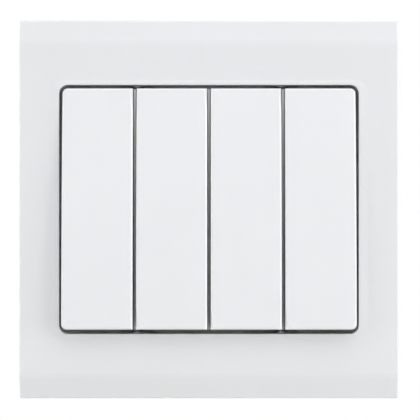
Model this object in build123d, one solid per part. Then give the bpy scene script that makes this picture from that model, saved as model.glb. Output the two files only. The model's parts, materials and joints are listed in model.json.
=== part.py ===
from build123d import *
import math
import os

# Four-gang wall light switch, in millimetres.
# X points right, Y points into the wall and Z points up. The wall is the plane Y = 0,
# and the origin is the middle of the four box screws.

# Cover plate
plate_width = 120.0
plate_height = 120.0
plate_depth = 9.0  # from the wall to the flat front
plate_wall = 2.0
band_height = 7.3  # sloping band along the top and the bottom
band_drop = 1.7
crease_round = 8.0
shoulder_round = 0.6
side_round = 0.5
opening_corner = 2.75
lip_foot = 1.6  # how far the raised lip reaches over the plate, above and below the row
lip_side_foot = 3.0
lip_top = 0.6
lip_height = 0.2
rim_wall = 1.3  # wall that runs back from the edge of the opening
rim_clearance = 0.4  # between that wall and the heads of the box screws
plate_rib = 1.2
plate_rib_depth = 1.8
plate_rib_places = (-33.0, 0.0, 33.0)
pry_notch_half_width = 4.0  # notch in the lower rim, for a screwdriver
pry_notch_depth = 1.2

# Row of rockers
gang_count = 4
gang_pitch = 23.44
rocker_gap = 1.1
rocker_height = 76.06
end_gap = 1.37  # above and below the row
rest_tilt = 3.0  # top pressed in, degrees from the middle of the travel

# Rocker cap
cap_proud = 2.4  # ends of the cap over the plate, at the middle of the travel
cap_crown = 0.8
cap_wall = 1.6
cap_skirt_to_wall = 6.0  # from the open back of the cap to the room's wall
cap_corner = 1.65  # only at the outer corners of the row
cap_edge_round = 0.7
cap_rib = 1.0
cap_rib_to_wall = 8.6
cap_rib_side = 5.6
cap_cross_rib = 20.0

# Actuator and its trunnions
pivot_to_wall = 5.5
trunnion_radius = 1.5
trunnion_clearance = 0.05
hub_half_height = 2.4
hub_back = 2.0  # hub behind the pivot
hub_half_length = 6.4
beam_front_to_wall = 9.0
beam_thickness = 1.4
beam_half_width = 4.5
beam_half_height = 11.5
web_half_width = 1.5
peg_half = 1.5
peg_height = 1.3
peg_side = 9.0
peg_clearance = 0.05
boss_wall = 1.2
tube_wall = 1.0
tube_reach = 12.1  # from the pivot to the open end
spring_seat = 2.3  # from the pivot to the closed end of the bore

# Plunger and its spring
plunger_half = 1.5  # square pin with a half-round nose
plunger_clearance = 0.08
plunger_reach = 13.5  # from the pivot to the tip of the nose
plunger_shank = 2.8
spigot_half = 0.55
spigot_length = 1.2
spring_wire = 0.4
spring_turns = 4
spring_facets = 6  # straight stretches in each turn
spring_side_clearance = 0.2
spring_end_clearance = 0.03

# See-saw contact
seesaw_clearance = 0.1  # between the nose and the strip, at the middle of the travel
seesaw_thickness = 0.8
seesaw_half_width = 2.5
seesaw_half_length = 8.5
seesaw_tilt = 6.0
knuckle_radius = 1.2
knuckle_clearance = 0.05
tip_place = 7.0
tip_half = 1.5
tip_thickness = 0.7
contact_gap_closed = 0.1

# Terminals and lock springs
strip_thickness = 0.8
strip_half_width = 4.0
strip_bend = 0.9
saddle_half_height = 2.4
saddle_gap = 0.4
clamp_to_wall = 2.5  # from the leg of each terminal to the wall of its chamber
leg_end_gap = 0.8
leaf_thickness = 0.3
leaf_half_width = 3.8
leaf_bend = 0.5
leaf_gap = 0.8

# Mechanism body and its two covers
body_half_width = 10.6
body_half_height = 18.5
body_wall = 1.4
body_back = 23.0
front_cover_thickness = 1.8
rear_cover_thickness = 2.4
partition_front = 15.0
partition_thickness = 1.2
slot_clearance = 0.15
chamber_rib_to_leg = 5.7
chamber_rib = 1.2
locating_lip = 0.9
locating_lip_depth = 2.0
locating_clearance = 0.1
tube_window_clearance = 0.9
cheek_thickness = 2.0
cheek_gap = 0.6  # between the hub and the cheek
cheek_half_height = 3.6
cheek_over_pivot = 1.4
cheek_mouth_half = 1.3
arm_thickness = 1.2
arm_half_width = 3.5
arm_clearance = 0.4
arm_hook = 0.9
arm_hook_height = 1.0
arm_hook_gap = 0.1
leg_thickness = 1.2
leg_half_width = 3.5
leg_clearance = 0.1
leg_reach = 7.6
leg_window_half = 2.3
leg_window = 1.6
leg_foot = 1.0
nub_clearance = 0.2
nub_height = 0.8
nub_tail = 0.2
wire_entry_radius = 1.7
wire_entry_side = 2.2
wire_entry_to_leg = 0.5
release_width = 2.4
release_height = 3.2
release_side = 2.6

# Support frame
frame_thickness = 2.6
frame_side_gap = 1.4
frame_corner = 1.5
frame_flange = 1.4
frame_flange_height = 1.5
window_overlap = 1.0  # frame over the flange of each mechanism, at the sides
window_overlap_end = 1.7
hook_to_side = 20.0  # middle of each hook to the side of the plate
hook_to_end = 10.0
hook_half_width = 4.0
hook_thickness = 1.4
hook_barb = 0.7
barb_lead = 0.25
hook_back_gap = 0.4  # between the hook's end and the frame
hook_clearance = 0.3
catch_thickness = 1.3
catch_height = 3.0
divider_foot = 0.9  # thin wall that stands in the gap between two rockers
divider_top = 0.45
divider_below_front = 0.6

# Wall box screws
screw_spacing_x = 46.0
screw_spacing_z = 83.5
screw_radius = 2.0
screw_neck_radius = 1.9
screw_length = 22.0  # behind the frame
screw_seat = 1.0  # frame under each head
screw_head_radius = 3.5
screw_head_height = 2.4
recess_length = 4.2
recess_width = 0.9
recess_depth = 1.2
slot_width = 4.5
slot_length = 8.0
pocket_clearance = 0.3

# Sizes that follow
gang_places = [(i - (gang_count - 1) / 2) * gang_pitch for i in range(gang_count)]
opening_width = gang_count * gang_pitch + rocker_gap
opening_height = rocker_height + 2 * end_gap
front_y = -plate_depth
inner_front_y = front_y + plate_wall
frame_y = -frame_thickness
screw_head_y = -screw_seat - screw_head_height
cap_half_width = (gang_pitch - rocker_gap) / 2
cap_half_height = rocker_height / 2
cap_end_y = front_y - cap_proud
pivot_y = -pivot_to_wall
beam_y = -beam_front_to_wall
bore_half = plunger_half + plunger_clearance
tube_half = bore_half + tube_wall
seesaw_y = pivot_y + plunger_reach + seesaw_clearance
knuckle_y = seesaw_y + seesaw_thickness
window_half_width = body_half_width - window_overlap
window_half_height = body_half_height - window_overlap_end
chamber_half_width = body_half_width - body_wall
chamber_half_height = body_half_height - body_wall
clamp_place = chamber_half_height - clamp_to_wall
chamber_rib_place = clamp_place - chamber_rib_to_leg - chamber_rib
wire_entry_place = clamp_place - strip_thickness / 2 - wire_entry_to_leg - wire_entry_radius
hook_x = plate_width / 2 - hook_to_side
hook_z = plate_height / 2 - hook_to_end
partition_back = partition_front + partition_thickness
rear_cover_y = body_back + rear_cover_thickness
rest = Pos(0, pivot_y, 0) * Rot(-rest_tilt, 0, 0) * Pos(0, -pivot_y, 0)
tipped = Pos(0, knuckle_y, 0) * Rot(seesaw_tilt, 0, 0) * Pos(0, -knuckle_y, 0)


def block(x_span, y_span, z_span):
    """A box between two limits along each axis."""
    spans = (x_span, y_span, z_span)
    middle = [(low + high) / 2 for low, high in spans]
    return Pos(*middle) * Box(*[high - low for low, high in spans])


def plate_of(sketch, y_front, y_back):
    """A sketch drawn in X and Z, made into a plate between two depths."""
    plane = Plane(origin=(0, y_back, 0), x_dir=(1, 0, 0), z_dir=(0, -1, 0))
    return extrude(plane * sketch, amount=y_back - y_front)


def bar_of(face, half_width):
    """A face drawn in Y and Z, made into a bar along X."""
    return extrude(Plane.YZ * face, amount=half_width, both=True)


def outline(*points):
    """A closed face through (y, z) points."""
    return make_face(Polyline(*points, close=True))


def pin_x(radius, half_length, y):
    """A cylinder along X, centred on X = 0."""
    return Pos(0, y, 0) * Rot(0, 90, 0) * Cylinder(radius, 2 * half_length)


def pin_y(radius, y_front, y_back, x=0.0, z=0.0):
    """A cylinder along Y between two depths."""
    return Pos(x, (y_front + y_back) / 2, z) * Rot(90, 0, 0) * Cylinder(radius, y_back - y_front)


def bent_strip(points, thickness, half_width, bend):
    """A flat strip folded along (y, z) points, each fold in two half turns, its width along X."""
    line = [Vector(*points[0])]
    for before, corner, after in zip(points, points[1:], points[2:]):
        corner = Vector(*corner)
        line += [corner + (Vector(*end) - corner).normalized() * bend for end in (before, after)]
    line.append(Vector(*points[-1]))
    normals = [(b - a).normalized().rotate(Axis.Z, 90) for a, b in zip(line, line[1:])]
    near, far = [], []
    for i, point in enumerate(line):
        both = normals[max(i - 1, 0)] + normals[min(i, len(normals) - 1)]
        offset = both * (thickness / both.dot(both))
        near.append(point + offset)
        far.append(point - offset)
    return bar_of(outline(*near, *reversed(far)), half_width)


def top_and_bottom(shape):
    """The shape with its mirror image below the middle."""
    return shape + mirror(shape, about=Plane.XY)


def cover_plate():
    """Front plate: a shell with sloping bands, an opening with a lip, ribs and snap hooks."""
    half_height = plate_height / 2
    crease_z = half_height - band_height
    shoulder_y = front_y + band_drop
    side = outline((0, -half_height), (shoulder_y, -half_height), (front_y, -crease_z),
                   (front_y, crease_z), (shoulder_y, half_height), (0, half_height))
    side = fillet([v for v in side.vertices() if abs(v.X - front_y) < 0.01], crease_round)
    side = fillet([v for v in side.vertices() if abs(v.X - shoulder_y) < 0.01], shoulder_round)
    plate = bar_of(side, plate_width / 2)
    ends = [e for e in plate.edges()
            if abs(abs(e.center().X) - plate_width / 2) < 0.01 and e.center().Y < -0.01]
    plate = fillet(ends, side_round)

    slope = math.atan2(band_drop, band_height)
    inner_half_height = half_height - plate_wall
    inner_crease_z = crease_z - plate_wall * math.tan(slope / 2)
    inner_shoulder_y = inner_front_y + (inner_half_height - inner_crease_z) * math.tan(slope)
    hollow = outline((1, -inner_half_height), (inner_shoulder_y, -inner_half_height),
                     (inner_front_y, -inner_crease_z), (inner_front_y, inner_crease_z),
                     (inner_shoulder_y, inner_half_height), (1, inner_half_height))
    plate -= bar_of(hollow, plate_width / 2 - plate_wall)

    def ring_outline(side_reach, end_reach):
        return RectangleRounded(opening_width + 2 * side_reach, opening_height + 2 * end_reach,
                                opening_corner + end_reach)

    foot_plane = Plane(origin=(0, front_y, 0), x_dir=(1, 0, 0), z_dir=(0, -1, 0))
    plate += loft([foot_plane * ring_outline(lip_side_foot, lip_foot),
                   foot_plane.offset(lip_height) * ring_outline(lip_top, lip_top)])
    rim = Rectangle(opening_width + 2 * rim_wall, opening_height + 2 * rim_wall)
    plate += plate_of(rim, inner_front_y, screw_head_y - rim_clearance)
    rib_start = opening_height / 2 + rim_wall / 2
    for x in plate_rib_places:
        rib = block((x - plate_rib / 2, x + plate_rib / 2),
                    (inner_front_y, inner_front_y + plate_rib_depth), (rib_start, inner_crease_z))
        plate += top_and_bottom(rib)
    plate -= plate_of(ring_outline(0, 0), front_y - 2 * lip_height, 0)
    plate -= block((-pry_notch_half_width, pry_notch_half_width), (-pry_notch_depth, 0),
                   (-half_height, -inner_half_height))

    hook_end = frame_y - hook_back_gap
    barb_y = hook_end - hook_barb
    hook = outline((inner_front_y, hook_z), (inner_front_y, hook_z + hook_thickness),
                   (hook_end, hook_z + hook_thickness), (hook_end, hook_z),
                   (barb_y + barb_lead, hook_z - hook_barb), (barb_y, hook_z - hook_barb),
                   (barb_y, hook_z))
    hook = bar_of(hook, hook_half_width)
    for x in (-hook_x, hook_x):
        plate += top_and_bottom(Pos(x, 0, 0) * hook)
    return plate


def support_frame():
    """Frame on the wall box: windows for the mechanisms, screw slots, catches and dividers."""
    width = plate_width - 2 * (plate_wall + frame_side_gap)
    height = plate_height - 2 * (plate_wall + frame_side_gap)
    flange_y = frame_y - frame_flange_height
    frame = plate_of(RectangleRounded(width, height, frame_corner), flange_y, 0)
    frame -= plate_of(Rectangle(width - 2 * frame_flange, height - 2 * frame_flange),
                      flange_y, frame_y)
    for x in gang_places:
        frame -= block((x - window_half_width, x + window_half_width), (frame_y, 0),
                       (-window_half_height, window_half_height))
    pocket_width = 2 * (screw_head_radius + pocket_clearance)
    for x in (-screw_spacing_x / 2, screw_spacing_x / 2):
        for z in (-screw_spacing_z / 2, screw_spacing_z / 2):
            pocket = Rectangle(slot_length - slot_width + pocket_width, pocket_width)
            frame -= plate_of(Pos(x, z) * SlotOverall(slot_length, slot_width), frame_y, 0)
            frame -= plate_of(Pos(x, z) * pocket, frame_y, -screw_seat)

    barb_tip = hook_z - hook_clearance
    catch_face = hook_z - hook_barb - hook_clearance
    catch_top = frame_y - catch_height
    barb_back = frame_y - hook_back_gap - hook_barb - hook_clearance
    catch = outline((frame_y, catch_face - catch_thickness), (catch_top, catch_face - catch_thickness),
                    (catch_top, catch_face), (barb_back - barb_lead, barb_tip),
                    (barb_back, barb_tip), (barb_back, catch_face), (frame_y, catch_face))
    catch = bar_of(catch, hook_half_width)
    for x in (-hook_x, hook_x):
        frame += top_and_bottom(Pos(x, 0, 0) * catch)

    divider_end = front_y + divider_below_front
    section = Plane.XY * make_face(Polyline(
        (-divider_foot / 2, frame_y), (-divider_top / 2, divider_end),
        (divider_top / 2, divider_end), (divider_foot / 2, frame_y), close=True))
    divider = extrude(section, amount=cap_half_height, both=True)
    for left, right in zip(gang_places, gang_places[1:]):
        frame += Pos((left + right) / 2, 0, 0) * divider
    return frame


def box_screw():
    """Pan-head machine screw: the neck passes the frame, the thread starts behind it."""
    head = pin_y(screw_head_radius, screw_head_y, -screw_seat)
    recess = Rectangle(recess_length, recess_width) + Rectangle(recess_width, recess_length)
    head -= plate_of(recess, screw_head_y, screw_head_y + recess_depth)
    neck = pin_y(screw_neck_radius, -screw_seat, 0)
    return head + neck + pin_y(screw_radius, 0, screw_length)


def box_screws():
    """The four screws into the wall box."""
    return [Pos(x, 0, z) * box_screw()
            for x in (-screw_spacing_x / 2, screw_spacing_x / 2)
            for z in (-screw_spacing_z / 2, screw_spacing_z / 2)]


def rocker_cap(rounded_sides):
    """Crowned cap with ribs and two sockets. Only sides at the end of the row are rounded."""
    back_y = -cap_skirt_to_wall
    crown = ThreePointArc((cap_end_y, -cap_half_height), (cap_end_y - cap_crown, 0),
                          (cap_end_y, cap_half_height))
    back = Polyline((cap_end_y, cap_half_height), (back_y, cap_half_height),
                    (back_y, -cap_half_height), (cap_end_y, -cap_half_height))
    cap = bar_of(make_face([crown, back]), cap_half_width)
    for side in rounded_sides:
        corners = [e for e in cap.edges().filter_by(Axis.Y) if e.center().X * side > 0]
        cap = fillet(corners, cap_corner)
    cap = fillet([e for e in cap.edges() if e.center().Y < cap_end_y + 0.01], cap_edge_round)

    floor_y = cap_end_y + cap_wall
    inside_x = (cap_wall - cap_half_width, cap_half_width - cap_wall)
    inside_z = (cap_wall - cap_half_height, cap_half_height - cap_wall)
    cap -= block(inside_x, (floor_y, 0), inside_z)
    rib_y = (floor_y, -cap_rib_to_wall)
    for x in (-cap_rib_side, cap_rib_side):
        cap += block((x - cap_rib / 2, x + cap_rib / 2), rib_y, inside_z)
    for z in (-cap_cross_rib, cap_cross_rib):
        cap += block(inside_x, rib_y, (z - cap_rib / 2, z + cap_rib / 2))
    socket_half = peg_half + peg_clearance
    boss_half = socket_half + boss_wall
    for z in (-peg_side, peg_side):
        cap += block((-boss_half, boss_half), (floor_y, beam_y), (z - boss_half, z + boss_half))
        cap -= block((-socket_half, socket_half), (beam_y - peg_height - peg_clearance, beam_y),
                     (z - socket_half, z + socket_half))
    return rest * cap


def actuator():
    """Pivoting arm: hub and trunnions, beam with pegs for the cap, and the plunger tube."""
    cheek_outer = hub_half_length + cheek_gap + cheek_thickness
    beam_back = beam_y + beam_thickness
    tube_end = pivot_y + tube_reach
    arm = pin_x(trunnion_radius, cheek_outer, pivot_y)
    arm += block((-hub_half_length, hub_half_length), (beam_back, pivot_y + hub_back),
                 (-hub_half_height, hub_half_height))
    arm += block((-tube_half, tube_half), (pivot_y, tube_end), (-tube_half, tube_half))
    arm += block((-beam_half_width, beam_half_width), (beam_y, beam_back),
                 (-beam_half_height, beam_half_height))
    web = outline((beam_y, -beam_half_height), (beam_y, beam_half_height),
                  (beam_back, beam_half_height), (pivot_y, hub_half_height), (pivot_y, -hub_half_height),
                  (beam_back, -beam_half_height))
    arm += bar_of(web, web_half_width)
    for z in (-peg_side, peg_side):
        arm += block((-peg_half, peg_half), (beam_y - peg_height, beam_y),
                     (z - peg_half, z + peg_half))
    arm -= block((-bore_half, bore_half), (pivot_y + spring_seat, tube_end), (-bore_half, bore_half))
    return rest * arm


def plunger():
    """Square pin with a half-round nose and a spigot for its spring."""
    nose_y = pivot_y + plunger_reach - plunger_half
    shoulder_y = nose_y - plunger_shank
    square = (-plunger_half, plunger_half)
    pin = block(square, (shoulder_y, nose_y), square) + pin_x(plunger_half, plunger_half, nose_y)
    spigot = (-spigot_half, spigot_half)
    return rest * (pin + block(spigot, (shoulder_y - spigot_length, shoulder_y), spigot))


def plunger_spring():
    """Coil spring between the end of the bore and the plunger's shoulder."""
    start = pivot_y + spring_seat + spring_wire / 2 + spring_end_clearance
    end = (pivot_y + plunger_reach - plunger_half - plunger_shank
           - spring_wire / 2 - spring_end_clearance)
    radius = bore_half - spring_side_clearance - spring_wire / 2
    steps = spring_turns * spring_facets
    points = []
    for step in range(steps + 1):
        angle = 2 * math.pi * step / spring_facets
        points.append((radius * math.cos(angle), start + (end - start) * step / steps,
                       radius * math.sin(angle)))
    path = Polyline(*points)
    section = Plane(origin=path @ 0, x_dir=(0, 1, 0), z_dir=path % 0)
    return rest * sweep(section * Rectangle(spring_wire, spring_wire), path=path,
                        transition=Transition.RIGHT)


def moving_contact():
    """See-saw strip with a half-round knuckle behind its middle."""
    strip = block((-seesaw_half_width, seesaw_half_width), (seesaw_y, knuckle_y),
                  (-seesaw_half_length, seesaw_half_length))
    knuckle = pin_x(knuckle_radius, seesaw_half_width, knuckle_y)
    knuckle &= block((-seesaw_half_width, seesaw_half_width),
                     (knuckle_y, knuckle_y + knuckle_radius), (-knuckle_radius, knuckle_radius))
    return tipped * (strip + knuckle)


def moving_tip():
    """Silver contact tip welded to the back of the see-saw's upper arm."""
    return tipped * block((-tip_half, tip_half), (knuckle_y, knuckle_y + tip_thickness),
                          (tip_place - tip_half, tip_place + tip_half))


def closed_contact_y():
    """The furthest depth that the moving tip reaches when the contact is closed."""
    angle = math.radians(seesaw_tilt)
    edge = tip_place + tip_half
    return knuckle_y + tip_thickness * math.cos(angle) + edge * math.sin(angle)


def fixed_tip():
    """Silver contact tip welded to the load terminal."""
    tip_y = closed_contact_y() + contact_gap_closed
    return block((-tip_half, tip_half), (tip_y, tip_y + tip_thickness),
                 (tip_place - tip_half, tip_place + tip_half))


def common_terminal():
    """Brass strip with the see-saw's saddle at the middle and the lower clamp leg."""
    groove_top = knuckle_y + saddle_gap
    saddle = block((-seesaw_half_width, seesaw_half_width), (groove_top, partition_front),
                   (-saddle_half_height, saddle_half_height))
    saddle -= pin_x(knuckle_radius + knuckle_clearance, seesaw_half_width, knuckle_y)
    strip_y = partition_front - strip_thickness / 2
    points = [(strip_y, saddle_half_height), (strip_y, -clamp_place),
              (body_back - leg_end_gap, -clamp_place)]
    return saddle + bent_strip(points, strip_thickness, strip_half_width, strip_bend)


def load_terminal():
    """Brass strip that carries the fixed tip behind the see-saw's upper arm."""
    stand_y = closed_contact_y() + contact_gap_closed + tip_thickness + strip_thickness / 2
    low_z = tip_place - tip_half - strip_thickness
    points = [(stand_y, low_z), (stand_y, clamp_place), (body_back - leg_end_gap, clamp_place)]
    return bent_strip(points, strip_thickness, strip_half_width, strip_bend)


def lock_spring_load():
    """Leaf that bears on the chamber rib and presses the wire against the terminal."""
    rib_face = chamber_rib_place + chamber_rib
    fold_z = rib_face + leaf_thickness / 2
    end_y = body_back - leaf_gap
    tip_z = clamp_place - strip_thickness / 2 - leaf_gap
    points = [(partition_back + leaf_gap, fold_z), (end_y, fold_z),
              (partition_back + 3 * leaf_gap, tip_z)]
    return bent_strip(points, leaf_thickness, leaf_half_width, leaf_bend)


def lock_spring_common():
    """The same leaf in the lower chamber."""
    return mirror(lock_spring_load(), about=Plane.XY)


def snap_leg(y_root, y_tip):
    """Snap leg of a cover, above the body, from the cover's outer face towards the body."""
    way = math.copysign(1, y_tip - y_root)
    inner = body_half_height + leg_clearance
    outer = inner + leg_thickness
    cover = (front_cover_thickness if way > 0 else rear_cover_thickness)
    leg = block((-leg_half_width, leg_half_width), sorted((y_root, y_tip)), (inner, outer))
    leg += block((-leg_half_width, leg_half_width), sorted((y_root, y_root + way * cover)),
                 (body_half_height, inner))
    window = sorted((y_tip - way * leg_foot, y_tip - way * (leg_foot + leg_window)))
    return leg - block((-leg_window_half, leg_window_half), window, (inner, outer))


def nub(y_tip, way):
    """Wedge on the body that the window of a snap leg drops over."""
    near = y_tip - way * (leg_foot + nub_clearance)
    far = y_tip - way * (leg_foot + leg_window - nub_clearance)
    wedge = outline((near, body_half_height), (near, body_half_height + nub_height),
                    (far, body_half_height + nub_tail), (far, body_half_height))
    return bar_of(wedge, leg_window_half - nub_clearance)


def mechanism_body():
    """Housing: contact chamber in front of a partition and two clamp chambers behind it."""
    sketch = Rectangle(2 * body_half_width, 2 * body_half_height)
    body = plate_of(sketch, front_cover_thickness, body_back)
    inside_x = (-chamber_half_width, chamber_half_width)
    inside_z = (-chamber_half_height, chamber_half_height)
    body -= block(inside_x, (front_cover_thickness, partition_front), inside_z)
    body -= block(inside_x, (partition_back, body_back), inside_z)
    ribs = block(inside_x, (partition_back, body_back),
                 (chamber_rib_place, chamber_rib_place + chamber_rib))
    slot_half = strip_thickness / 2 + slot_clearance
    slot_x = strip_half_width + slot_clearance
    corner_z = clamp_place - strip_thickness / 2 - strip_bend
    slot = block((-slot_x, slot_x), (partition_front, partition_back),
                 (corner_z, clamp_place + slot_half))
    body += top_and_bottom(ribs)
    body -= top_and_bottom(slot)
    body += top_and_bottom(nub(leg_reach, 1))
    return body + top_and_bottom(nub(rear_cover_y - leg_reach, -1))


def bearing_cover():
    """Front cover: trunnion cheeks, tube window, arms that snap in the frame, and legs."""
    flange = Rectangle(2 * body_half_width, 2 * body_half_height)
    cover = plate_of(flange, 0, front_cover_thickness)
    lip_x = chamber_half_width - locating_clearance
    lip_z = chamber_half_height - locating_clearance
    lip = Rectangle(2 * lip_x, 2 * lip_z)
    lip -= Rectangle(2 * (lip_x - locating_lip), 2 * (lip_z - locating_lip))
    cover += plate_of(lip, front_cover_thickness, front_cover_thickness + locating_lip_depth)
    sway = (pivot_to_wall + front_cover_thickness) * math.sin(math.radians(rest_tilt))
    window_z = tube_half + sway + tube_window_clearance
    window_x = tube_half + tube_window_clearance
    cover -= block((-window_x, window_x), (0, front_cover_thickness), (-window_z, window_z))

    cheek_inner = hub_half_length + cheek_gap
    cheek_front = pivot_y - cheek_over_pivot
    for side in (-1, 1):
        cheek_x = sorted((side * cheek_inner, side * (cheek_inner + cheek_thickness)))
        cover += block(cheek_x, (cheek_front, 0), (-cheek_half_height, cheek_half_height))
    mouth_x = cheek_inner + cheek_thickness
    cover -= pin_x(trunnion_radius + trunnion_clearance, mouth_x, pivot_y)
    cover -= block((-mouth_x, mouth_x), (cheek_front, pivot_y),
                   (-cheek_mouth_half, cheek_mouth_half))

    arm_outer = window_half_height - arm_clearance
    hook_y = frame_y - arm_hook_gap
    arm = outline((0, arm_outer - arm_thickness), (hook_y - arm_hook_height, arm_outer - arm_thickness),
                  (hook_y - arm_hook_height, arm_outer), (hook_y, arm_outer + arm_hook),
                  (hook_y, arm_outer), (0, arm_outer))
    cover += top_and_bottom(bar_of(arm, arm_half_width))
    return cover + top_and_bottom(snap_leg(0, leg_reach))


def terminal_cover():
    """Rear cover: a wire entry and a release slot for each clamp, lips and snap legs."""
    sketch = Rectangle(2 * body_half_width, 2 * body_half_height)
    cover = plate_of(sketch, body_back, rear_cover_y)
    lip_z = chamber_half_height - locating_clearance
    lip_x = chamber_half_width - body_wall
    lip = block((-lip_x, lip_x), (body_back - locating_lip_depth, body_back),
                (lip_z - locating_lip, lip_z))
    cover += top_and_bottom(lip)
    for z in (-wire_entry_place, wire_entry_place):
        cover -= pin_y(wire_entry_radius, body_back, rear_cover_y, -wire_entry_side, z)
        release = block((release_side - release_width / 2, release_side + release_width / 2),
                        (body_back, rear_cover_y), (z - release_height / 2, z + release_height / 2))
        cover -= release
    return cover + top_and_bottom(snap_leg(rear_cover_y, rear_cover_y - leg_reach))


def write(name, shape):
    """Write one sub-part as parts/NAME.step."""
    export_step(shape, f"parts/{name}.step")


os.makedirs("parts", exist_ok=True)

write("cover_plate", cover_plate())
write("support_frame", support_frame())
write("box_screws", Compound(children=box_screws()))

each_gang = {
    "actuator": actuator(),
    "plunger": plunger(),
    "plunger_spring": plunger_spring(),
    "moving_contact": moving_contact(),
    "moving_tip": moving_tip(),
    "common_terminal": common_terminal(),
    "load_terminal": load_terminal(),
    "fixed_tip": fixed_tip(),
    "lock_spring_common": lock_spring_common(),
    "lock_spring_load": lock_spring_load(),
    "mechanism_body": mechanism_body(),
    "bearing_cover": bearing_cover(),
    "terminal_cover": terminal_cover(),
}
for number, x in enumerate(gang_places, start=1):
    rounded_sides = [side for side, end in ((-1, 1), (1, gang_count)) if number == end]
    write(f"rocker_cap_{number}", Pos(x, 0, 0) * rocker_cap(rounded_sides))
    for name, shape in each_gang.items():
        write(f"{name}_{number}", Pos(x, 0, 0) * shape)
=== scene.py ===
import json
import math

import bmesh
import bpy
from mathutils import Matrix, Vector


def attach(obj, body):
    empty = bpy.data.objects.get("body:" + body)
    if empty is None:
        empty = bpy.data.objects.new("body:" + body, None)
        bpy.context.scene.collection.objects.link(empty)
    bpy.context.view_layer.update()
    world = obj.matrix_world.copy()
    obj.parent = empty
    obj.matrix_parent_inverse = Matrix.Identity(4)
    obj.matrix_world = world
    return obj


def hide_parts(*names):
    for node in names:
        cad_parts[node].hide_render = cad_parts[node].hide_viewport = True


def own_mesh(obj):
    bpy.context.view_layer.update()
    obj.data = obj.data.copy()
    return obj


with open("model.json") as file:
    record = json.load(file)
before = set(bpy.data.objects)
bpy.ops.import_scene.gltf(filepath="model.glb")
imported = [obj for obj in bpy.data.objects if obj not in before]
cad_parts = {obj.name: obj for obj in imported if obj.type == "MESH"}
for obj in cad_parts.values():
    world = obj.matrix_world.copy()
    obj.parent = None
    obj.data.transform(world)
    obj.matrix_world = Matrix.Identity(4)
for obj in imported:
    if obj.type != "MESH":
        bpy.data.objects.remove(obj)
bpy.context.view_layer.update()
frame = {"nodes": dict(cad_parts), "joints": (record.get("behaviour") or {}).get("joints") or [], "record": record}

nodes = frame["nodes"]
joints = {joint["name"]: joint for joint in frame["joints"]}
gangs = (1, 2, 3, 4)
mm = 0.001
print("frame loaded with", len(nodes), "nodes")


# Shader helpers
def startMaterial(name):
    material = bpy.data.materials.new(name)
    material.use_nodes = True
    return material, material.node_tree, material.node_tree.nodes["Principled BSDF"]


def noise(tree, size, detail, stretch=(1, 1, 1)):
    # Noise in object space; size is the width of its patches in metres.
    place = tree.nodes.new("ShaderNodeTexCoord")
    mapping = tree.nodes.new("ShaderNodeMapping")
    mapping.inputs["Scale"].default_value = stretch
    texture = tree.nodes.new("ShaderNodeTexNoise")
    texture.inputs["Scale"].default_value = 1 / size
    texture.inputs["Detail"].default_value = detail
    tree.links.new(place.outputs["Object"], mapping.inputs["Vector"])
    tree.links.new(mapping.outputs["Vector"], texture.inputs["Vector"])
    return texture.outputs["Fac"]


def spread(tree, source, low, high, fromLow=0.3, fromHigh=0.7):
    # Maps the middle of a noise onto a range of values.
    node = tree.nodes.new("ShaderNodeMapRange")
    node.inputs["From Min"].default_value = fromLow
    node.inputs["From Max"].default_value = fromHigh
    node.inputs["To Min"].default_value = low
    node.inputs["To Max"].default_value = high
    tree.links.new(source, node.inputs["Value"])
    return node.outputs["Result"]


def mixColours(tree, factor, first, second):
    node = tree.nodes.new("ShaderNodeMix")
    node.data_type = "RGBA"
    colourInputs = [socket for socket in node.inputs if socket.type == "RGBA"]
    for socket, colour in zip(colourInputs, (first, second)):
        socket.default_value = (*colour, 1)
    tree.links.new(factor, node.inputs[0])
    return [socket for socket in node.outputs if socket.type == "RGBA"][0]


def bump(tree, shader, height, depth):
    node = tree.nodes.new("ShaderNodeBump")
    node.inputs["Distance"].default_value = depth
    tree.links.new(height, node.inputs["Height"])
    tree.links.new(node.outputs["Normal"], shader.inputs["Normal"])


# How fine each kind of noise is, and how far red, green and blue go into pale plastic
noiseDetail = {"clouds": 2.0, "gloss": 4.0, "skin": 2.0, "stains": 4.0, "lines": 3.0, "paper": 3.0}
lightReach = (1.0, 0.95, 0.85)


def mouldedPlastic(name, look):
    # Moulded plastic: clouds in its colour, uneven gloss and a fine skin.
    material, tree, shader = startMaterial(name)
    clouds = spread(tree, noise(tree, look["cloudSize"], noiseDetail["clouds"]), 0, 1)
    tree.links.new(mixColours(tree, clouds, look["colour"], look["cloudColour"]),
                   shader.inputs["Base Color"])
    low, high = look["roughness"]
    gloss = noise(tree, look["glossSize"], noiseDetail["gloss"])
    tree.links.new(spread(tree, gloss, low, high), shader.inputs["Roughness"])
    shader.inputs["IOR"].default_value = look["ior"]
    shader.inputs["Subsurface Weight"].default_value = look.get("share", 0)
    shader.inputs["Subsurface Radius"].default_value = lightReach
    shader.inputs["Subsurface Scale"].default_value = look.get("depth", mm)
    bump(tree, shader, noise(tree, look["skinSize"], noiseDetail["skin"]), look["skinDepth"])
    return material


def platedMetal(name, look):
    # Rolled, drawn or plated metal: stains in its colour and drawn lines in its gloss.
    material, tree, shader = startMaterial(name)
    shader.inputs["Metallic"].default_value = 1
    stains = spread(tree, noise(tree, look["stainSize"], noiseDetail["stains"]), 0, 1)
    tree.links.new(mixColours(tree, stains, look["colour"], look["stainColour"]),
                   shader.inputs["Base Color"])
    lines = noise(tree, look["lineSize"], noiseDetail["lines"], look["lineStretch"])
    low, high = look["roughness"]
    tree.links.new(spread(tree, lines, low, high), shader.inputs["Roughness"])
    bump(tree, shader, lines, look["lineDepth"])
    return material


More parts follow.
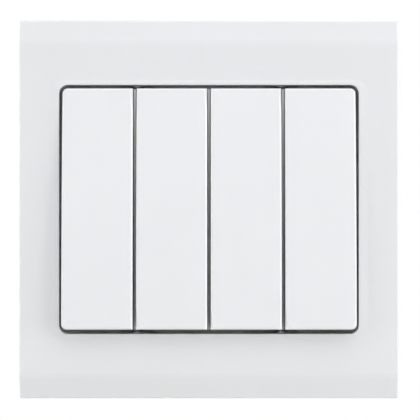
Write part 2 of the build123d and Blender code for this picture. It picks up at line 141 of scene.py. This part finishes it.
# Finishes, one dictionary for each. Colours are linear, sizes and depths are in metres, and
# "share" is how much of the light goes through the plastic's skin, to "depth".
plateWhite = {"colour": (0.785, 0.795, 0.815), "cloudColour": (0.775, 0.785, 0.800),
              "cloudSize": 0.045, "roughness": (0.32, 0.34), "glossSize": 0.004, "ior": 1.50,
              "depth": 0.0012, "share": 0.4, "skinSize": 0.0009, "skinDepth": 0.000004}
rockerWhite = {"colour": (0.815, 0.830, 0.850), "cloudColour": (0.805, 0.820, 0.838),
               "cloudSize": 0.030, "roughness": (0.28, 0.30), "glossSize": 0.003, "ior": 1.50,
               "depth": 0.0012, "share": 0.4, "skinSize": 0.0008, "skinDepth": 0.000003}
frameGrey = {"colour": (0.74, 0.725, 0.70), "cloudColour": (0.70, 0.685, 0.66), "cloudSize": 0.020,
             "roughness": (0.48, 0.62), "glossSize": 0.0015, "ior": 1.49,
             "skinSize": 0.0003, "skinDepth": 0.000012}
actuatorGrey = {"colour": (0.44, 0.45, 0.47), "cloudColour": (0.40, 0.41, 0.43), "cloudSize": 0.008,
                "roughness": (0.38, 0.50), "glossSize": 0.001, "ior": 1.53,
                "skinSize": 0.0003, "skinDepth": 0.000006}
plungerWhite = {"colour": (0.76, 0.75, 0.69), "cloudColour": (0.72, 0.71, 0.65), "cloudSize": 0.004,
                "roughness": (0.30, 0.40), "glossSize": 0.0008, "ior": 1.48,
                "skinSize": 0.0003, "skinDepth": 0.000004}
housingWhite = {"colour": (0.70, 0.70, 0.67), "cloudColour": (0.66, 0.66, 0.63), "cloudSize": 0.012,
                "roughness": (0.40, 0.52), "glossSize": 0.0012, "ior": 1.58,
                "skinSize": 0.00025, "skinDepth": 0.000010}
coverGrey = {"colour": (0.70, 0.695, 0.68), "cloudColour": (0.66, 0.655, 0.64), "cloudSize": 0.010,
             "roughness": (0.42, 0.54), "glossSize": 0.0012, "ior": 1.58,
             "skinSize": 0.00025, "skinDepth": 0.000010}
zincSteel = {"colour": (0.70, 0.71, 0.73), "stainColour": (0.60, 0.60, 0.58), "stainSize": 0.002,
             "roughness": (0.24, 0.38), "lineSize": 0.0002, "lineStretch": (1, 0.3, 1),
             "lineDepth": 0.000003}
springSteel = {"colour": (0.58, 0.58, 0.58), "stainColour": (0.48, 0.47, 0.45), "stainSize": 0.002,
               "roughness": (0.20, 0.32), "lineSize": 0.00015, "lineStretch": (1, 1, 0.2),
               "lineDepth": 0.000002}
contactBronze = {"colour": (0.72, 0.45, 0.24), "stainColour": (0.58, 0.34, 0.18), "stainSize": 0.003,
                 "roughness": (0.26, 0.40), "lineSize": 0.00015, "lineStretch": (1, 1, 0.1),
                 "lineDepth": 0.000002}
silver = {"colour": (0.86, 0.85, 0.82), "stainColour": (0.70, 0.66, 0.58), "stainSize": 0.001,
          "roughness": (0.22, 0.36), "lineSize": 0.0001, "lineStretch": (1, 1, 1),
          "lineDepth": 0.000002}
terminalBrass = {"colour": (0.76, 0.56, 0.22), "stainColour": (0.60, 0.42, 0.16), "stainSize": 0.003,
                 "roughness": (0.24, 0.38), "lineSize": 0.00015, "lineStretch": (1, 0.1, 1),
                 "lineDepth": 0.000002}

finishes = {
    "plate_white": mouldedPlastic("plateWhite", plateWhite),
    "rocker_white": mouldedPlastic("rockerWhite", rockerWhite),
    "frame_grey": mouldedPlastic("frameGrey", frameGrey),
    "actuator_grey": mouldedPlastic("actuatorGrey", actuatorGrey),
    "plunger_white": mouldedPlastic("plungerWhite", plungerWhite),
    "housing_white": mouldedPlastic("housingWhite", housingWhite),
    "cover_grey": mouldedPlastic("coverGrey", coverGrey),
    "zinc_steel": platedMetal("zincSteel", zincSteel),
    "spring_steel": platedMetal("springSteel", springSteel),
    "contact_bronze": platedMetal("contactBronze", contactBronze),
    "silver": platedMetal("silver", silver),
    "terminal_brass": platedMetal("terminalBrass", terminalBrass),
}

for row in frame["record"]["subparts"]:
    mesh = nodes[row["node"]].data
    mesh.materials.clear()
    mesh.materials.append(finishes[row["material_slot"]])
print("finishes on", len(nodes), "nodes")


# Mesh helpers
def meshPiece(name, bm, slot, smooth=True):
    mesh = bpy.data.meshes.new(name)
    bmesh.ops.recalc_face_normals(bm, faces=bm.faces)
    bm.to_mesh(mesh)
    bm.free()
    mesh.polygons.foreach_set("use_smooth", [smooth] * len(mesh.polygons))
    mesh.materials.append(finishes[slot])
    piece = bpy.data.objects.new(name, mesh)
    bpy.context.scene.collection.objects.link(piece)
    return piece


def joinRings(bm, rings):
    # Quads between neighbouring rings of the same length, with a face over each end.
    for first, second in zip(rings, rings[1:]):
        for i in range(len(first)):
            k = (i + 1) % len(first)
            bm.faces.new((first[i], first[k], second[k], second[i]))
    bm.faces.new(rings[0])
    bm.faces.new(rings[-1])


# Box screws: pan heads with a cross recess, and real threads
boxScrew = {"spacingX": 46 * mm, "spacingZ": 83.5 * mm, "tip": 22.0 * mm, "tipChamfer": 0.7 * mm,
            "pitch": 0.7 * mm, "crestRadius": 2.0 * mm, "rootRadius": 1.56 * mm,
            "rootEnd": 0.125, "crestStart": 0.4375,  # shares of the pitch from the thread's root
            "threadSides": 40, "headSides": 48, "roundSteps": 8,
            "headRadius": 3.5 * mm, "headTop": -3.4 * mm, "headSeat": -1.0 * mm,
            "headRound": 1.3 * mm, "rimChamfer": 0.15 * mm,
            "recessReach": 2.1 * mm, "recessWidth": 0.9 * mm, "recessDepth": 1.5 * mm,
            "recessStart": 0.5 * mm, "recessMouth": 1.12, "recessFloor": 0.55,
            "sharpAngle": 35, "weld": 0.0001 * mm}


def threadRadius(phase, y):
    # Radius of the thread at a share of its pitch, cut back by the chamfer at the tip.
    spec = boxScrew
    flank = spec["crestStart"] - spec["rootEnd"]
    rise = (min(phase, 1 - phase) - spec["rootEnd"]) / flank
    radius = spec["rootRadius"] + (spec["crestRadius"] - spec["rootRadius"]) * min(max(rise, 0), 1)
    tipRadius = spec["rootRadius"] - spec["tipChamfer"] / 2
    return min(radius, tipRadius + (spec["tip"] - y))


def addThread(bm, place):
    # Columns of points round the shank, each a share of the pitch further along than the last.
    spec = boxScrew
    phases = (spec["rootEnd"], spec["crestStart"], 1 - spec["crestStart"], 1 - spec["rootEnd"])
    start, tip, pitch = spec["headSeat"], spec["tip"], spec["pitch"]
    count = math.ceil((tip - start) / pitch) + 1
    columns = []
    for i in range(spec["threadSides"] + 1):
        turn = i / spec["threadSides"]
        column = []
        for n in range(-1, count):
            for phase in phases:
                y = min(max(start + pitch * (n + phase + turn), start), tip)
                realPhase = ((y - start) / pitch - turn) % 1
                radius = threadRadius(realPhase, y)
                angle = 2 * math.pi * turn
                column.append(bm.verts.new(place + Vector((radius * math.cos(angle), y,
                                                           radius * math.sin(angle)))))
        columns.append(column)
    for first, second in zip(columns, columns[1:]):
        for i in range(len(first) - 1):
            bm.faces.new((first[i], first[i + 1], second[i + 1], second[i]))
    points = [point for column in columns for point in column]
    bmesh.ops.remove_doubles(bm, verts=points, dist=spec["weld"])
    edges = [e for e in bm.edges if e.is_boundary]
    bmesh.ops.holes_fill(bm, edges=edges, sides=0)


def addHead(bm, place):
    # A lathed pan head: flat seat, straight rim and a rounded top.
    spec = boxScrew
    top, seat, radius = spec["headTop"], spec["headSeat"], spec["headRadius"]
    bend, chamfer = spec["headRound"], spec["rimChamfer"]
    profile = [(seat, radius - chamfer), (seat - chamfer, radius)]
    for i in range(spec["roundSteps"] + 1):
        angle = math.pi / 2 * i / spec["roundSteps"]
        profile.append((top + bend * (1 - math.sin(angle)), radius - bend * (1 - math.cos(angle))))
    rings = []
    for y, r in profile:
        ring = []
        for i in range(spec["headSides"]):
            angle = 2 * math.pi * i / spec["headSides"]
            ring.append(bm.verts.new(place + Vector((r * math.cos(angle), y, r * math.sin(angle)))))
        rings.append(ring)
    joinRings(bm, rings)


def addRecess(bm, place):
    # Tapered cross that is cut from the head.
    spec = boxScrew
    reach, half = spec["recessReach"], spec["recessWidth"] / 2
    top = spec["headTop"]
    mouth = (top - spec["recessStart"], spec["recessMouth"])
    bottom = (top + spec["recessDepth"], spec["recessFloor"])
    rings = []
    for y, share in (mouth, bottom):
        r = reach * share
        corners = [(half, r), (half, half), (r, half), (r, -half), (half, -half), (half, -r),
                   (-half, -r), (-half, -half), (-r, -half), (-r, half), (-half, half), (-half, r)]
        rings.append([bm.verts.new(place + Vector((x, y, z))) for x, z in corners])
    joinRings(bm, rings)


def makeBoxScrews():
    spec = boxScrew
    places = [Vector((x, 0, z)) for x in (-spec["spacingX"] / 2, spec["spacingX"] / 2)
              for z in (-spec["spacingZ"] / 2, spec["spacingZ"] / 2)]
    heads, recesses, threads = bmesh.new(), bmesh.new(), bmesh.new()
    for place in places:
        addHead(heads, place)
        addRecess(recesses, place)
    headPiece = meshPiece("box_screw_heads", heads, "zinc_steel")
    cutter = meshPiece("recess_cutter", recesses, "zinc_steel", smooth=False)
    cut = headPiece.modifiers.new("recess", "BOOLEAN")
    cut.operation, cut.solver, cut.object = "DIFFERENCE", "EXACT", cutter
    bpy.context.view_layer.update()
    evaluated = headPiece.evaluated_get(bpy.context.evaluated_depsgraph_get())
    shaped = bpy.data.meshes.new_from_object(evaluated)
    bpy.data.objects.remove(cutter)
    bpy.data.objects.remove(headPiece)
    for place in places:
        single = bmesh.new()
        addThread(single, place)
        part = bpy.data.meshes.new("thread")
        single.to_mesh(part)
        single.free()
        threads.from_mesh(part)
    threads.from_mesh(shaped)
    piece = meshPiece("threaded_box_screws", threads, "zinc_steel")
    piece.data.set_sharp_from_angle(angle=math.radians(spec["sharpAngle"]))
    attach(piece, "root")
    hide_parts("box_screws")


makeBoxScrews()
print("box screws made")


# Plunger springs: round wire on a true helix, with a closed turn at each end
plungerSpring = {"wire": 0.4 * mm, "openTurns": 4.0, "closedTurns": 1.0, "stepsPerTurn": 28,
                 "wireSides": 10, "pushed": 1.5 * mm,
                 "inset": 0.75,  # middle of the wire inside the solid's outer radius, in wires
                 "closedPitch": 1.02}  # rise of a closed turn, in wires


def springAxis(gang):
    # The line of the plunger's slide, how far along it the spring's solid reaches, and its radius.
    origin = Vector(joints[f"rocker_{gang}_tilt"]["pos_m"])
    along = -Vector(joints[f"plunger_{gang}_slide"]["axis"]).normalized()
    points = [vertex.co - origin for vertex in nodes[f"plunger_spring_{gang}"].data.vertices]
    reach = [point.dot(along) for point in points]
    radius = max((point - along * point.dot(along)).length for point in points)
    return origin, along, min(reach), max(reach), radius


def makeSpring(gang):
    spec = plungerSpring
    origin, along, low, high, outer = springAxis(gang)
    wire, opened, closed = spec["wire"], spec["openTurns"], spec["closedTurns"]
    coilRadius = outer - wire * spec["inset"]
    side = Vector((1, 0, 0))
    up = along.cross(side).normalized()
    turns = opened + 2 * closed
    closedRise = wire * spec["closedPitch"]
    openRise = (high - low - wire - 2 * closed * closedRise) / opened

    bm = bmesh.new()
    steps = int(turns * spec["stepsPerTurn"])
    rings = []
    for i in range(steps + 1):
        turn = turns * i / steps
        openPart = min(max(turn - closed, 0), opened)
        rise = openPart * openRise + (turn - openPart) * closedRise
        angle = 2 * math.pi * turn
        outward = side * math.cos(angle) + up * math.sin(angle)
        centre = origin + along * (low + wire / 2 + rise) + outward * coilRadius
        ring = []
        for k in range(spec["wireSides"]):
            a = 2 * math.pi * k / spec["wireSides"]
            ring.append(bm.verts.new(centre + (outward * math.cos(a) + along * math.sin(a)) * wire / 2))
        rings.append(ring)
    joinRings(bm, rings)
    piece = meshPiece(f"coiled_spring_{gang}", bm, "spring_steel")
    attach(piece, f"rocker_{gang}")
    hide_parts(f"plunger_spring_{gang}")
    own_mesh(piece)


for gang in gangs:
    makeSpring(gang)
print("springs made")


# Floor, well below the plate and out of the photograph's view. "glow" lifts it where it is seen.
floor = {"height": -0.14, "radius": 0.55, "sides": 96, "colour": (0.82, 0.80, 0.775),
         "tint": 0.99, "tintSize": 0.05, "roughness": 0.9, "glow": 0.22,
         "fadeStart": 0.22, "fadeEnd": 0.50}


def lightPathMask(tree, *kinds):
    # 1 for the named kinds of ray and 0 for the rest.
    path = tree.nodes.new("ShaderNodeLightPath")
    result = path.outputs[kinds[0]]
    for kind in kinds[1:]:
        largest = tree.nodes.new("ShaderNodeMath")
        largest.operation = "MAXIMUM"
        tree.links.new(result, largest.inputs[0])
        tree.links.new(path.outputs[kind], largest.inputs[1])
        result = largest.outputs[0]
    return result


def makeFloor():
    bm = bmesh.new()
    bmesh.ops.create_circle(bm, cap_ends=True, segments=floor["sides"], radius=floor["radius"])
    mesh = bpy.data.meshes.new("floor")
    bm.to_mesh(mesh)
    bm.free()
    obj = bpy.data.objects.new("floor", mesh)
    obj.location.z = floor["height"]
    bpy.context.scene.collection.objects.link(obj)
    material, tree, shader = startMaterial("floorPaper")
    mesh.materials.append(material)
    shader.inputs["Roughness"].default_value = floor["roughness"]
    clouds = spread(tree, noise(tree, floor["tintSize"], noiseDetail["paper"]), 0, 1)
    darker = tuple(part * floor["tint"] for part in floor["colour"])
    tree.links.new(mixColours(tree, clouds, floor["colour"], darker), shader.inputs["Base Color"])
    white = tree.nodes.new("ShaderNodeEmission")
    add = tree.nodes.new("ShaderNodeAddShader")
    lift = tree.nodes.new("ShaderNodeEmission")
    tree.links.new(shader.outputs[0], add.inputs[0])
    tree.links.new(lift.outputs[0], add.inputs[1])
    seen = lightPathMask(tree, "Is Camera Ray", "Is Glossy Ray", "Is Transmission Ray")
    glow = tree.nodes.new("ShaderNodeMath")
    glow.operation = "MULTIPLY"
    glow.inputs[1].default_value = floor["glow"]
    tree.links.new(seen, glow.inputs[0])
    tree.links.new(glow.outputs[0], lift.inputs["Strength"])
    # The paper fades to plain white away from the middle.
    place = tree.nodes.new("ShaderNodeTexCoord")
    distance = tree.nodes.new("ShaderNodeVectorMath")
    distance.operation = "LENGTH"
    tree.links.new(place.outputs["Object"], distance.inputs[0])
    fade = spread(tree, distance.outputs["Value"], 0, 1, floor["fadeStart"], floor["fadeEnd"])
    share = tree.nodes.new("ShaderNodeMath")
    share.operation = "MULTIPLY"
    tree.links.new(fade, share.inputs[0])
    tree.links.new(seen, share.inputs[1])
    mix = tree.nodes.new("ShaderNodeMixShader")
    tree.links.new(share.outputs[0], mix.inputs[0])
    tree.links.new(add.outputs[0], mix.inputs[1])
    tree.links.new(white.outputs[0], mix.inputs[2])
    tree.links.new(mix.outputs[0], tree.nodes["Material Output"].inputs["Surface"])


makeFloor()

# World: white where it is seen, and plain soft light on the object
sky = {"colour": (1.0, 0.985, 0.965), "strength": 0.13}


def makeWorld():
    world = bpy.data.worlds.new("studio")
    bpy.context.scene.world = world
    world.use_nodes = True
    tree = world.node_tree
    light = tree.nodes["Background"]
    light.inputs["Color"].default_value = (*sky["colour"], 1)
    light.inputs["Strength"].default_value = sky["strength"]
    white = tree.nodes.new("ShaderNodeBackground")
    white.inputs["Color"].default_value = (1, 1, 1, 1)
    white.inputs["Strength"].default_value = 1
    mix = tree.nodes.new("ShaderNodeMixShader")
    seen = lightPathMask(tree, "Is Camera Ray", "Is Glossy Ray", "Is Transmission Ray")
    tree.links.new(seen, mix.inputs[0])
    tree.links.new(light.outputs[0], mix.inputs[1])
    tree.links.new(white.outputs[0], mix.inputs[2])
    tree.links.new(mix.outputs[0], tree.nodes["World Output"].inputs["Surface"])


makeWorld()

# Lamps: square softboxes aimed at the middle of the plate. "around" runs anticlockwise from the
# right and "rise" is the angle over the plate's plane, in degrees; below 0 the lamp is behind.
# "share" is the light it gives that face of the plate, where 1 alone would show white as white.
softbox = {"distance": 2.0, "size": 1.2}
lamps = {
    "right": {"around": 0, "rise": 22, "share": 0.195, "colour": (1.0, 0.995, 0.985)},
    "left": {"around": 180, "rise": 20, "share": 0.125, "colour": (1.0, 0.995, 0.985)},
    "above": {"around": 90, "rise": 25, "share": 0.15, "colour": (0.95, 0.975, 1.0)},
    "aboveRight": {"around": 40, "rise": 35, "share": 0.19, "colour": (0.98, 0.99, 1.0)},
    "aboveLeft": {"around": 140, "rise": 35, "share": 0.105, "colour": (0.98, 0.99, 1.0)},
    "behindRight": {"around": 70, "rise": -40, "share": 0.22, "colour": (1.0, 1.0, 1.0)},
    "behindLeft": {"around": 160, "rise": -35, "share": 0.12, "colour": (1.0, 1.0, 1.0)},
}


def makeLamp(name, spec):
    around, rise = math.radians(spec["around"]), math.radians(spec["rise"])
    distance = softbox["distance"]
    light = bpy.data.lights.new(name, "AREA")
    light.shape = "SQUARE"
    light.size = softbox["size"]
    light.energy = spec["share"] * (math.pi * distance) ** 2 / abs(math.sin(rise))
    light.color = spec["colour"]
    obj = bpy.data.objects.new(name, light)
    obj.location = (distance * math.cos(rise) * math.cos(around),
                    -distance * math.sin(rise),
                    distance * math.cos(rise) * math.sin(around))
    obj.rotation_euler = (-obj.location).to_track_quat("-Z", "Y").to_euler()
    bpy.context.scene.collection.objects.link(obj)


for name, spec in lamps.items():
    makeLamp(name, spec)
print("studio made")

# Camera: square on, at the photograph's distance
photoView = {"lens": 122.0, "sensor": 36.0, "clip": (0.01, 10.0), "distance": 0.450,
             "frontPlane": -0.009, "aim": (0.00033, -0.0002)}


def makeCamera():
    data = bpy.data.cameras.new("camera")
    data.sensor_width = photoView["sensor"]
    data.lens = photoView["lens"]
    data.clip_start, data.clip_end = photoView["clip"]
    camera = bpy.data.objects.new("camera", data)
    x, z = photoView["aim"]
    camera.location = (x, photoView["frontPlane"] - photoView["distance"], z)
    camera.rotation_euler = (math.pi / 2, 0, 0)
    bpy.context.scene.collection.objects.link(camera)
    bpy.context.scene.camera = camera


makeCamera()
bpy.context.scene.view_settings.view_transform = "Standard"

print("scene ready")
